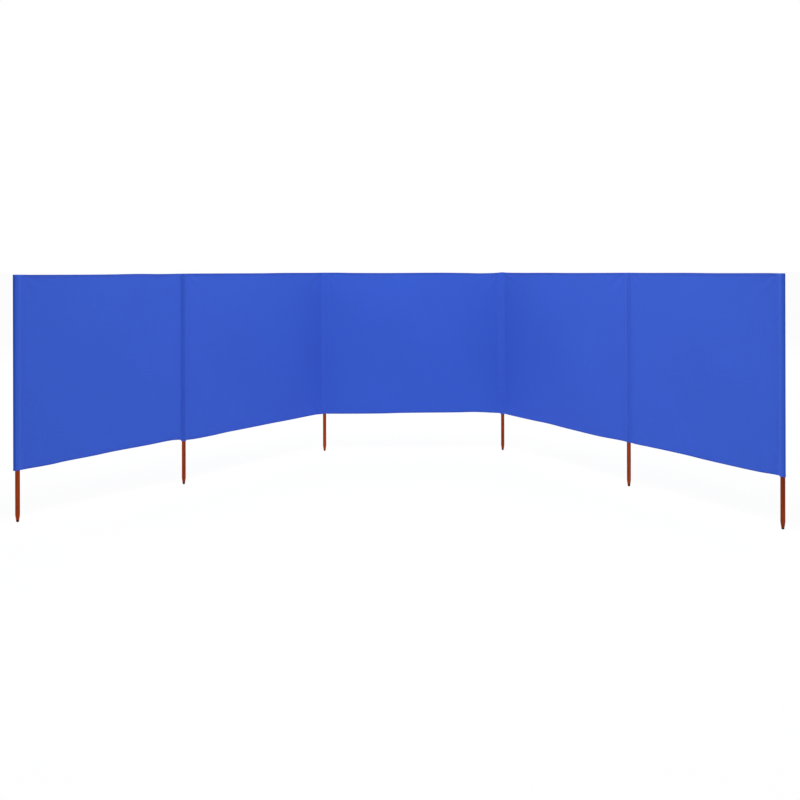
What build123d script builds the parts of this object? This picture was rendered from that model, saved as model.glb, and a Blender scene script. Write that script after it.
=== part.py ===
from build123d import *

import os
from math import acos, cos, radians, sin

# A beach windbreak: one long cloth in five bays, carried by six wooden poles.
# The cloth is sewn round each pole as a pocket that is open at the foot and
# closed over the pole's top, and it is hemmed along its upper and lower edges.
#
# Millimetres. The origin is the middle of pole 3's foot, +X runs along the
# middle bay to pole 4, -Y is the sheltered side and +Z is up. Poles and bays
# are counted from left to right as seen from the sheltered side, so that
# each bay starts at the pole of its own number and ends at the next.

# The row as a whole: three wide bays between two narrower end bays
overall_height = 1200.0
cloth_height = 950.0
wide_bay = 1200.0
end_bay = 1000.0

# How far the row turns towards the sheltered side at each inner pole, in degrees
turn_at_pole = {2: -1.4, 3: 52.3, 4: 61.0, 5: -0.9}

# The poles: round wooden staves with a blunt tip that is pushed into the sand
pole_diameter = 22.0
tip_length = 35.0
tip_diameter = 12.0
tip_rounding = 4.0
pole_top_chamfer = 1.5

# The cloth, its hems and its pockets
cloth_thickness = 1.0
hem_width = 12.0
bottom_rise = 5.0
pocket_clearance = 0.5
pocket_slack = 9.0
flange_width = 10.0
stitch_width = 2.0
top_seam = 2.0

# Clearances: the panel's edge inside a fold, and a bay's cloth that turns round a pocket
fold_gap = 0.3
turning_gap = 0.5

# Sizes that follow from those above
pole_radius = pole_diameter / 2
pole_length = overall_height - top_seam
cloth_foot = overall_height - cloth_height
pocket_radius = pole_radius + pocket_clearance
pocket_outer_radius = pocket_radius + cloth_thickness
seam_reach = pocket_radius + pocket_slack
flange_reach = seam_reach + flange_width
panel_reach = seam_reach + stitch_width
seam_thickness = 3 * cloth_thickness
fold = cloth_thickness + fold_gap
bay_width = {1: end_bay, 2: wide_bay, 3: wide_bay, 4: wide_bay, 5: end_bay}
up = Vector(0, 0, 1)

# The bay that carries each pole in its pocket, and at the inner poles the
# neighbour, whose cloth is sewn to the far side of that pocket
carrying_bay = {1: 1, 2: 2, 3: 3, 4: 3, 5: 4, 6: 5}
neighbour_bay = {2: 1, 3: 2, 4: 4, 5: 5}


def direction(turned):
    """The level direction that lies `turned` degrees round from +X."""
    return Vector(cos(radians(turned)), sin(radians(turned)), 0)


# The plan: bay 3 lies along +X, and the others turn away from it pole by pole
heading = {3: 0.0}
heading[2] = heading[3] + turn_at_pole[3]
heading[1] = heading[2] + turn_at_pole[2]
heading[4] = heading[3] - turn_at_pole[4]
heading[5] = heading[4] - turn_at_pole[5]

pole_foot = {3: Vector(0, 0, 0)}
for bay in (3, 4, 5):
    pole_foot[bay + 1] = pole_foot[bay] + direction(heading[bay]) * bay_width[bay]
for bay in (2, 1):
    pole_foot[bay] = pole_foot[bay + 1] - direction(heading[bay]) * bay_width[bay]


def ground_plane(pole, bay):
    """The level plane at a pole's foot, with +X along one of its bays, away from the pole."""
    starts_here = bay == pole
    along = direction(heading[bay] + (0 if starts_here else 180))
    return Plane(origin=pole_foot[pole], x_dir=along, z_dir=up)


def bay_plane(bay):
    """The upright plane of a bay: +X along the bay from its first pole, +Y up."""
    along = direction(heading[bay])
    return Plane(origin=pole_foot[bay], x_dir=along, z_dir=along.cross(up))


def make_pole(foot):
    """A round stave that tapers to a blunt, rounded tip with a small flat foot."""
    with BuildPart() as stave:
        with BuildSketch(Plane(origin=foot, x_dir=(1, 0, 0), z_dir=(0, -1, 0))) as half:
            with BuildLine():
                Polyline(
                    (0, 0),
                    (tip_diameter / 2, 0),
                    (pole_radius, tip_length),
                    (pole_radius, pole_length),
                    (0, pole_length),
                    close=True,
                )
            make_face()
            outer_corners = half.vertices().filter_by_position(Axis.X, tip_diameter / 2, pole_radius)
            fillet(outer_corners.sort_by(Axis.Y)[0], tip_rounding)
            chamfer(outer_corners.sort_by(Axis.Y)[-1], pole_top_chamfer)
        revolve(axis=Axis(foot, up))
    return stave.part


def teardrop(radius, reach):
    """A circle closed by its two tangents from the point `reach` out along +X."""
    spread = acos(radius / reach)
    touch_x = radius * cos(spread)
    touch_y = radius * sin(spread)
    with BuildSketch() as outline:
        with BuildLine():
            Line((reach, 0), (touch_x, touch_y))
            ThreePointArc((touch_x, touch_y), (-radius, 0), (touch_x, -touch_y))
            Line((touch_x, -touch_y), (reach, 0))
        make_face()
    return outline.sketch


def make_pocket(ground, wraps_pole=True):
    """The cloth round a pole, drawn straight from the pole to the seam and closed at the top.

    Both layers meet at the seam, and beyond it they take the edge of a bay's panel
    between them as a sewn flange. A pocket that doesn't wrap the pole is the far
    side, sewn to the neighbouring bay: it stops clear of the part that does, so
    that the bays can turn about the pole.
    """
    with BuildPart() as pocket:
        with BuildSketch(ground.offset(cloth_foot)):
            add(teardrop(pocket_outer_radius, seam_reach * pocket_outer_radius / pocket_radius))
            with Locations((seam_reach, 0)):
                Rectangle(flange_width, seam_thickness, align=(Align.MIN, Align.CENTER))
        extrude(amount=cloth_height)
        with BuildSketch(ground.offset(cloth_foot)):
            add(teardrop(pocket_radius, seam_reach))
        extrude(amount=cloth_height - top_seam, mode=Mode.SUBTRACT)
        with BuildSketch(ground.offset(cloth_foot)):
            with Locations((panel_reach, 0)):
                Rectangle(flange_width, cloth_thickness, align=(Align.MIN, Align.CENTER))
        extrude(amount=cloth_height - cloth_thickness, mode=Mode.SUBTRACT)
        if not wraps_pole:
            with BuildSketch(ground.offset(cloth_foot)):
                Circle(pocket_outer_radius + turning_gap)
            extrude(amount=cloth_height, mode=Mode.SUBTRACT)
    return pocket.part


def lower_edge(width, inset, lift):
    """The stretched lower edge of a bay, `inset` from its poles, as three points raised by `lift`.

    The cloth is drawn up between the poles, by `bottom_rise` in the middle of the bay.
    """
    stations = (inset, width / 2, width - inset)
    return [(x, cloth_foot + lift + bottom_rise * 4 * x * (width - x) / width**2) for x in stations]


def make_panel(bay):
    """The cloth of one bay, with its edges inside the hems and the pocket flanges."""
    foot = lower_edge(bay_width[bay], panel_reach, fold)
    head = overall_height - fold
    with BuildPart() as panel:
        with BuildSketch(bay_plane(bay)):
            with BuildLine():
                ThreePointArc(*foot)
                Polyline(foot[2], (foot[2][0], head), (foot[0][0], head), foot[0])
            make_face()
        extrude(amount=cloth_thickness / 2, both=True)
    return panel.part


def hem_band(width, lift):
    """The band along a bay's lower edge, from `lift` above the edge to the hem's width."""
    low = lower_edge(width, flange_reach, lift)
    high = lower_edge(width, flange_reach, hem_width)
    with BuildSketch() as band:
        with BuildLine():
            ThreePointArc(*low)
            Line(low[2], high[2])
            ThreePointArc(*reversed(high))
            Line(high[0], low[0])
        make_face()
    return band.sketch


def make_bottom_hem(bay):
    """The lower edge folded over the panel, curved as the stretched cloth is."""
    with BuildPart() as hem:
        with BuildSketch(bay_plane(bay)):
            add(hem_band(bay_width[bay], 0))
        extrude(amount=seam_thickness / 2, both=True)
        with BuildSketch(bay_plane(bay)):
            add(hem_band(bay_width[bay], cloth_thickness))
        extrude(amount=cloth_thickness / 2, both=True, mode=Mode.SUBTRACT)
    return hem.part


def make_top_hem(bay):
    """The upper edge folded over the panel."""
    length = bay_width[bay] - 2 * flange_reach
    with BuildPart() as hem:
        with BuildSketch(bay_plane(bay)):
            with Locations((bay_width[bay] / 2, overall_height)):
                Rectangle(length, hem_width, align=(Align.CENTER, Align.MAX))
        extrude(amount=seam_thickness / 2, both=True)
        with BuildSketch(bay_plane(bay)):
            with Locations((bay_width[bay] / 2, overall_height - cloth_thickness)):
                Rectangle(length, hem_width, align=(Align.CENTER, Align.MAX))
        extrude(amount=cloth_thickness / 2, both=True, mode=Mode.SUBTRACT)
    return hem.part


pieces = {}
for pole, foot in pole_foot.items():
    pieces[f"pole_{pole}"] = make_pole(foot)
    pieces[f"pocket_{pole}"] = make_pocket(ground_plane(pole, carrying_bay[pole]))
for pole, bay in neighbour_bay.items():
    pieces[f"pocket_{pole}_far_side"] = make_pocket(ground_plane(pole, bay), wraps_pole=False)
for bay in heading:
    pieces[f"bay_{bay}_panel"] = make_panel(bay)
    pieces[f"bay_{bay}_top_hem"] = make_top_hem(bay)
    pieces[f"bay_{bay}_bottom_hem"] = make_bottom_hem(bay)

os.makedirs("parts", exist_ok=True)
for name, piece in pieces.items():
    piece.label = name
    export_step(piece, f"parts/{name}.step")

for pole in sorted(pole_foot):
    print(f"pole {pole} stands at {pole_foot[pole].X:.2f}, {pole_foot[pole].Y:.2f}")
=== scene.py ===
"""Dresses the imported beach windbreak: cloth bays, hems, pole sleeves, stitching, stained poles, studio.

Lengths are metres and angles degrees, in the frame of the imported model: the origin is at the foot of
pole 3, +X runs along the middle bay and -Y is the sheltered side. Poles and bays are counted from left
to right as seen from the sheltered side.
"""

import logging
from dataclasses import dataclass, field
from enum import Enum
from math import acos, atan2, ceil, cos, degrees, exp, hypot, pi, radians, sin

import bmesh
import bpy
from mathutils import Matrix, Vector, noise


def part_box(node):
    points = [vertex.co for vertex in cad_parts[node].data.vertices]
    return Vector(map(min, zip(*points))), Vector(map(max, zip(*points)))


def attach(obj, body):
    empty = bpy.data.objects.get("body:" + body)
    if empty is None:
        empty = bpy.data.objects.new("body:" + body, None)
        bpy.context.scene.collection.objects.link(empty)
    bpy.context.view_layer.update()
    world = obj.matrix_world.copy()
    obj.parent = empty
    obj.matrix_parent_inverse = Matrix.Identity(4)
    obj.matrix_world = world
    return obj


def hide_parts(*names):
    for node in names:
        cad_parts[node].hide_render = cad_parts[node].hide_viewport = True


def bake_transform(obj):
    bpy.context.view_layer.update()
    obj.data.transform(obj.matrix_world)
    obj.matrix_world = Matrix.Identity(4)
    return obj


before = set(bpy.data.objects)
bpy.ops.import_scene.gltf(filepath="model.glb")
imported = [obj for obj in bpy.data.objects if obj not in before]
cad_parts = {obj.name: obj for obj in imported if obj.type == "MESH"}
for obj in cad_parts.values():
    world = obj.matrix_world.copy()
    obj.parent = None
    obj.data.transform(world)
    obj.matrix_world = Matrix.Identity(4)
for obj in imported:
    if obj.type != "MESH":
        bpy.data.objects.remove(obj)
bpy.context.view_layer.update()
log = logging.getLogger("windbreak")

Colour = tuple[float, float, float, float]
Triple = tuple[float, float, float]
Span = tuple[float, float]

MM = 0.001
SAME_PLACE = 1e-6
SAME_LEVEL = 0.01 * MM
UP = Vector((0, 0, 1))
ALONG = Vector((1, 0, 0))
WHITE: Colour = (1, 1, 1, 1)
CLOTH_MAP = "cloth_metres"
# the attribute that carries painted shade on sleeves and hems, as a share from 0 to 1
SHADE = "painted_shade"


def eased(share: float) -> float:
    """A share from 0 to 1 that starts and ends gently."""
    share = min(max(share, 0.0), 1.0)
    return share * share * (3 - 2 * share)


def fading(distance: float, reach: float) -> float:
    """A share that is 1 at no distance and dies away over that reach."""
    return exp(-max(distance, 0.0) / reach)


def polar(radius: float, angle: float) -> Vector:
    """The level point at that radius and angle from +X."""
    return Vector((radius * cos(radians(angle)), radius * sin(radians(angle)), 0))


class Edge(Enum):
    """The two hemmed edges of a bay, each with the way from the edge into the cloth."""

    TOP = -1
    BOTTOM = 1


@dataclass(frozen=True)
class EdgeLine:
    """How an edge of the stretched cloth runs along one bay.

    Each station is a share of the bay's width from its first pole, and how many millimetres the
    edge lies above its straight line there.
    """

    stations: tuple[Span, ...]

    def slope(self, index: int) -> float:
        """The line's slope at a station, taken from its neighbours.

        Args:
            index: the station's number.

        Returns:
            The rise in millimetres over the whole width of the bay.
        """
        before = self.stations[max(index - 1, 0)]
        after = self.stations[min(index + 1, len(self.stations) - 1)]
        return (after[1] - before[1]) / (after[0] - before[0])

    def rise(self, share: float) -> float:
        """The height of the smooth line through the stations above the straight line.

        Args:
            share: the share of the bay's width from its first pole.

        Returns:
            The height in metres.
        """
        share = min(max(share, 0.0), 1.0)
        index = 0
        while share > self.stations[index + 1][0]:
            index += 1
        (start, low), (end, high) = self.stations[index : index + 2]
        span = end - start
        t = (share - start) / span
        bend_in = self.slope(index) * span * t * (1 - t) ** 2
        bend_out = self.slope(index + 1) * span * t * t * (t - 1)
        return (low + (high - low) * eased(t) + bend_in + bend_out) * MM


class Boards:
    """The node tree of one material or world, with short ways to add nodes to it."""

    # The colour sockets of a Mix node, whose names its number sockets have too
    MIX_FIRST, MIX_SECOND, MIX_RESULT = 6, 7, 2
    # Where most values of a noise lie
    COMMON: Span = (0.3, 0.7)

    def __init__(self, owner: bpy.types.Material | bpy.types.World) -> None:
        """Opens the owner's node tree."""
        self.owner = owner
        self.owner.use_nodes = True
        self.nodes = owner.node_tree.nodes
        self.links = owner.node_tree.links

    def add(self, kind: str, **values: object) -> bpy.types.Node:
        """Adds a node.

        Args:
            kind: the node's type, such as ShaderNodeMath.
            **values: its properties by name.

        Returns:
            The new node.
        """
        node = self.nodes.new(kind)
        for name, value in values.items():
            setattr(node, name, value)
        return node

    def feed(self, socket: bpy.types.NodeSocket, value: object) -> None:
        """Gives a socket its value.

        Args:
            socket: the input socket.
            value: an output socket to link to it, or else the number or colour that it is set to.
        """
        if isinstance(value, bpy.types.NodeSocket):
            self.links.new(value, socket)
        else:
            socket.default_value = value

    def wire(self, node: bpy.types.Node, *values: object) -> bpy.types.NodeSocket:
        """Feeds a node's inputs in their order.

        Args:
            node: the node.
            *values: what its first inputs get.

        Returns:
            The node's first output.
        """
        for socket, value in zip(node.inputs, values):
            self.feed(socket, value)
        return node.outputs[0]

    def calc(self, operation: str, *values: object) -> bpy.types.NodeSocket:
        """The result of a Math node with these inputs."""
        return self.wire(self.add("ShaderNodeMath", operation=operation), *values)

    def split(self, place: bpy.types.NodeSocket) -> list[bpy.types.NodeSocket]:
        """Takes a place apart.

        Args:
            place: the coordinates.

        Returns:
            Their X, Y and Z.
        """
        node = self.add("ShaderNodeSeparateXYZ")
        self.wire(node, place)
        return list(node.outputs)

    def remap(self, value: bpy.types.NodeSocket, span: Span, to: Span) -> bpy.types.NodeSocket:
        """The value taken smoothly from one span to another, and held at its ends."""
        node = self.add("ShaderNodeMapRange", interpolation_type="SMOOTHSTEP")
        return self.wire(node, value, *span, *to)

    def speckle(
        self, place: bpy.types.NodeSocket, stretch: Triple, detail: float = 2.0
    ) -> bpy.types.NodeSocket:
        """Noise about 0.5 with so many features a metre along each axis of the place.

        Args:
            place: the coordinates that the noise lies in.
            stretch: the features a metre along X, Y and Z.
            detail: the octaves of finer noise.

        Returns:
            The noise's value.
        """
        mapping = self.add("ShaderNodeMapping")
        self.feed(mapping.inputs["Vector"], place)
        self.feed(mapping.inputs["Scale"], stretch)
        grain = self.add("ShaderNodeTexNoise")
        self.feed(grain.inputs["Vector"], mapping.outputs[0])
        self.feed(grain.inputs["Scale"], 1.0)
        self.feed(grain.inputs["Detail"], detail)
        return grain.outputs["Fac"]

    def mix(
        self, share: object, first: object, second: object, blend: str = "MIX"
    ) -> bpy.types.NodeSocket:
        """Blends two colours.

        Args:
            share: the share of the second colour.
            first: the colour below.
            second: the colour above.
            blend: how the second lies on the first, such as MULTIPLY.

        Returns:
            The blended colour.
        """
        node = self.add("ShaderNodeMix", data_type="RGBA", blend_type=blend)
        self.feed(node.inputs["Factor"], share)
        self.feed(node.inputs[self.MIX_FIRST], first)
        self.feed(node.inputs[self.MIX_SECOND], second)
        return node.outputs[self.MIX_RESULT]

    def dim(self, colour: object, level: bpy.types.NodeSocket) -> bpy.types.NodeSocket:
        """The colour times a level."""
        grey = self.wire(self.add("ShaderNodeCombineXYZ"), level, level, level)
        return self.mix(1.0, colour, grey, "MULTIPLY")

    def bump(
        self, height: bpy.types.NodeSocket, depth: float, under: bpy.types.NodeSocket | None = None
    ) -> bpy.types.NodeSocket:
        """The normal of a relief.

        Args:
            height: the relief's height from 0 to 1.
            depth: how deep it is, in metres.
            under: the normal of the relief that it lies on, if there is one.

        Returns:
            The bent normal.
        """
        node = self.add("ShaderNodeBump")
        self.feed(node.inputs["Distance"], depth)
        self.feed(node.inputs["Height"], height)
        if under is not None:
            self.feed(node.inputs["Normal"], under)
        return node.outputs[0]

    def dress(self, values: dict[str, object]) -> bpy.types.Material:
        """Feeds the sockets of the material's Principled shader.

        Args:
            values: what each socket gets, by the socket's name.

        Returns:
            The material.
        """
        shader = self.nodes["Principled BSDF"]
        for name, value in values.items():
            self.feed(shader.inputs[name], value)
        return self.owner

    def seen(self) -> bpy.types.NodeSocket:
        """Tells what the camera sees, straight or by a mirror or glass, from what lights the scene.

        Returns:
            1 for what the camera sees, and 0 for the rest.
        """
        path = self.add("ShaderNodeLightPath").outputs
        straight_or_mirrored = self.calc("MAXIMUM", path["Is Camera Ray"], path["Is Glossy Ray"])
        return self.calc("MAXIMUM", straight_or_mirrored, path["Is Transmission Ray"])

    def surface(self, output: str, share: bpy.types.NodeSocket, *shaders: bpy.types.NodeSocket) -> None:
        """Gives the tree's output two shaders, at that share of the second."""
        both = self.wire(self.add("ShaderNodeMixShader"), share, *shaders)
        self.feed(self.nodes[output].inputs["Surface"], both)


@dataclass(frozen=True)
class WovenCloth:
    """Plain-woven polyester, dyed azure blue: fine threads with slubs, a soft sheen and uneven tones.

    Slubs, clouds and rumples are given by their features a metre across the cloth and up it, tones by
    how much they darken and brighten the dye, and roughness between the threads and on top of them.
    The weave's tones are painted shade between the threads and painted highlight on top of them, and
    the dye deepens towards the painted shade colour where a piece carries painted shade.
    """

    name: str = "woven_cloth"
    colour: Colour = (0.034, 0.0965, 0.54, 1)
    painted_shade_colour: Colour = (0.012, 0.055, 0.38, 1)
    thread_pitch: float = 0.6 * MM
    thread_depth: float = 0.10 * MM
    weave_shading: Span = (0.93, 1.04)
    warp_slubs: Triple = (420, 7, 1)
    weft_slubs: Triple = (7, 420, 1)
    slub_span: Span = (0.7, 1.3)
    slub_tones: Span = (0.97, 1.03)
    clouds: Triple = (2.6, 2.1, 1)
    cloud_tones: Span = (0.985, 1.015)
    rumples: Triple = (26, 20, 1)
    rumple_depth: float = 0.5 * MM
    roughness: Span = (0.90, 0.78)
    specular: float = 0.18
    sheen: float = 0.05
    sheen_roughness: float = 0.45
    sheen_tint: Colour = (0.62, 0.72, 1, 1)

    def weave(self, boards: Boards, place: bpy.types.NodeSocket) -> bpy.types.NodeSocket:
        """Crosses warp and weft, one over the other by turns.

        Args:
            boards: the cloth's node tree.
            place: the cloth's own coordinates, in metres.

        Returns:
            The height of the threads, from 0 between them to 1 on top of them.
        """
        across, up, _ = boards.split(place)
        warp = boards.calc("SINE", boards.calc("MULTIPLY", across, pi / self.thread_pitch))
        weft = boards.calc("SINE", boards.calc("MULTIPLY", up, pi / self.thread_pitch))
        crossing = boards.calc("MULTIPLY_ADD", boards.calc("MULTIPLY", warp, weft), 0.5, 0.5)
        warp_height = boards.calc("MULTIPLY", boards.calc("ABSOLUTE", warp), crossing)
        weft_share = boards.calc("SUBTRACT", 1.0, crossing)
        weft_height = boards.calc("MULTIPLY", boards.calc("ABSOLUTE", weft), weft_share)
        return boards.calc("MAXIMUM", warp_height, weft_height)

    def make(self) -> bpy.types.Material:
        """Weaves and dyes the cloth.

        Returns:
            The finished material.
        """
        boards = Boards(bpy.data.materials.new(self.name))
        place = boards.add("ShaderNodeUVMap", uv_map=CLOTH_MAP).outputs[0]
        threads = self.weave(boards, place)
        slubs = boards.calc(
            "ADD", boards.speckle(place, self.warp_slubs), boards.speckle(place, self.weft_slubs)
        )
        clouds = boards.speckle(place, self.clouds, detail=3.0)
        level = boards.remap(clouds, boards.COMMON, self.cloud_tones)
        level = boards.calc("MULTIPLY", level, boards.remap(slubs, self.slub_span, self.slub_tones))
        # painted shade between the threads and painted highlight on their tops
        level = boards.calc("MULTIPLY", level, boards.remap(threads, (0.0, 1.0), self.weave_shading))
        # painted shade: the dye is deepened towards the painted shade colour by the share of painted shade
        # that each piece carries
        shade = boards.add("ShaderNodeAttribute", attribute_name=SHADE).outputs["Fac"]
        dyed = boards.mix(shade, self.colour, self.painted_shade_colour)

        rumples = boards.bump(boards.speckle(place, self.rumples, detail=3.0), self.rumple_depth)
        streaks = boards.bump(slubs, self.thread_depth, rumples)
        return boards.dress({
            "Base Color": boards.dim(dyed, level),
            "Normal": boards.bump(threads, self.thread_depth, streaks),
            "Roughness": boards.remap(threads, (0.0, 1.0), self.roughness),
            "Specular IOR Level": self.specular,
            "Sheen Weight": self.sheen,
            "Sheen Roughness": self.sheen_roughness,
            "Sheen Tint": self.sheen_tint,
        })


@dataclass(frozen=True)
class SewingThread:
    """Twisted polyester thread in the cloth's own blue, a little brighter than the weave."""

    name: str = "sewing_thread"
    colour: Colour = (0.052, 0.125, 0.62, 1)
    fibres: Triple = (2600, 2600, 2600)
    fibre_tones: Span = (0.82, 1.12)
    fibre_depth: float = 0.06 * MM
    roughness: float = 0.55
    sheen: float = 0.2

    def make(self) -> bpy.types.Material:
        """Twists the thread's fibres.

        Returns:
            The finished material.
        """
        boards = Boards(bpy.data.materials.new(self.name))
        fibres = boards.speckle(boards.add("ShaderNodeTexCoord").outputs["Object"], self.fibres)
        return boards.dress({
            "Base Color": boards.dim(self.colour, boards.remap(fibres, boards.COMMON, self.fibre_tones)),
            "Normal": boards.bump(fibres, self.fibre_depth),
            "Roughness": self.roughness,
            "Sheen Weight": self.sheen,
        })


@dataclass(frozen=True)
class StainedWood:
    """Red-brown stained staves: long grain, fine pores, a satin coat, and painted shade on their tips.

    Tone, grain, pores and the ragged edge of the tips' painted shade are given by their features a
    metre across the stave and along it, where the shade gives way by shares of the tip's height, and
    roughness in the grain and between it.
    """

    name: str = "stained_wood"
    dark: Colour = (0.140, 0.017, 0.003, 1)
    light: Colour = (0.365, 0.051, 0.008, 1)
    pore: Colour = (0.055, 0.008, 0.002, 1)
    # painted shade: the near-black of each stave's tip
    tip: Colour = (0.022, 0.004, 0.002, 1)
    tone: Triple = (70, 70, 2.5)
    grain: Triple = (420, 420, 9)
    grain_share: float = 0.55
    grain_depth: float = 0.12 * MM
    figure_span: Span = (0.36, 0.64)
    pores: Triple = (1500, 1500, 45)
    pore_span: Span = (0.60, 0.72)
    pore_share: float = 0.6
    pore_depth: float = 0.10 * MM
    tip_height: float = 9 * MM
    tip_fade: Span = (0.7, 1.5)
    tip_edge: Triple = (160, 160, 60)
    tip_raggedness: float = 16 * MM
    roughness: Span = (0.50, 0.36)
    tip_roughness: float = 0.35
    specular: float = 0.055

    def make(self) -> bpy.types.Material:
        """Grains and stains the wood, and paints shade on the tips of its staves.

        Returns:
            The finished material.
        """
        boards = Boards(bpy.data.materials.new(self.name))
        place = boards.add("ShaderNodeTexCoord").outputs["Object"]
        _, _, height = boards.split(place)
        tone = boards.speckle(place, self.tone)
        grain = boards.speckle(place, self.grain, detail=4.0)
        pores = boards.remap(boards.speckle(place, self.pores), self.pore_span, (0.0, 1.0))
        tone_part = boards.calc("MULTIPLY", tone, 1 - self.grain_share)
        figure = boards.calc("MULTIPLY_ADD", grain, self.grain_share, tone_part)
        wood = boards.mix(boards.remap(figure, self.figure_span, (0.0, 1.0)), self.dark, self.light)
        wood = boards.mix(boards.calc("MULTIPLY", pores, self.pore_share), wood, self.pore)
        edge = boards.speckle(place, self.tip_edge, detail=3.0)
        ragged = boards.calc("MULTIPLY_ADD", edge, self.tip_raggedness, -self.tip_raggedness / 2)
        fade = (self.tip_height * self.tip_fade[0], self.tip_height * self.tip_fade[1])
        # painted shade, darker towards the foot of each stave below a ragged edge, where it is also
        # rougher
        shaded_tip = boards.remap(boards.calc("ADD", height, ragged), fade, (1.0, 0.0))
        satin = boards.remap(grain, boards.COMMON, self.roughness)
        return boards.dress({
            "Base Color": boards.mix(shaded_tip, wood, self.tip),
            "Normal": boards.bump(pores, -self.pore_depth, boards.bump(grain, self.grain_depth)),
            "Roughness": boards.calc("MULTIPLY_ADD", shaded_tip, self.tip_roughness, satin),
            "Specular IOR Level": self.specular,
        })


@dataclass(frozen=True)
class Plan:
    """Where the poles stand and where the cloth begins and ends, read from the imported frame."""

    feet: dict[int, Vector]
    cloth_top: float
    cloth_foot: float
    panel_reach: float
    flange_reach: float
    sleeve_radius: float

    @classmethod
    def from_frame(cls) -> "Plan":
        """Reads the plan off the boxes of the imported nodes.

        Returns:
            The plan.
        """
        feet = {}
        for pole in range(1, 7):
            low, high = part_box(f"pole_{pole}")
            feet[pole] = Vector(((low.x + high.x) / 2, (low.y + high.y) / 2, 0))
        pocket_low, pocket_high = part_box("pocket_3")
        return cls(
            feet=feet,
            cloth_top=pocket_high.z,
            cloth_foot=pocket_low.z,
            panel_reach=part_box("bay_3_panel")[0].x - feet[3].x,
            flange_reach=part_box("bay_3_top_hem")[0].x - feet[3].x,
            sleeve_radius=feet[3].x - pocket_low.x,
        )

    @property
    def cloth_height(self) -> float:
        """The height of the cloth from its lower edge to its upper one."""
        return self.cloth_top - self.cloth_foot

    def width(self, bay: int) -> float:
        """The distance between the two poles of a bay."""
        return (self.feet[bay + 1] - self.feet[bay]).length

    def heading(self, bay: int) -> float:
        """The direction of a bay from its first pole to the next, in degrees from +X."""
        run = self.feet[bay + 1] - self.feet[bay]
        return degrees(atan2(run.y, run.x))

    def place(self, pole: int, heading: float) -> Matrix:
        """The matrix that stands a piece at a pole, with its +X turned to that heading."""
        return Matrix.Translation(self.feet[pole]) @ Matrix.Rotation(radians(heading), 4, "Z")


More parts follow.
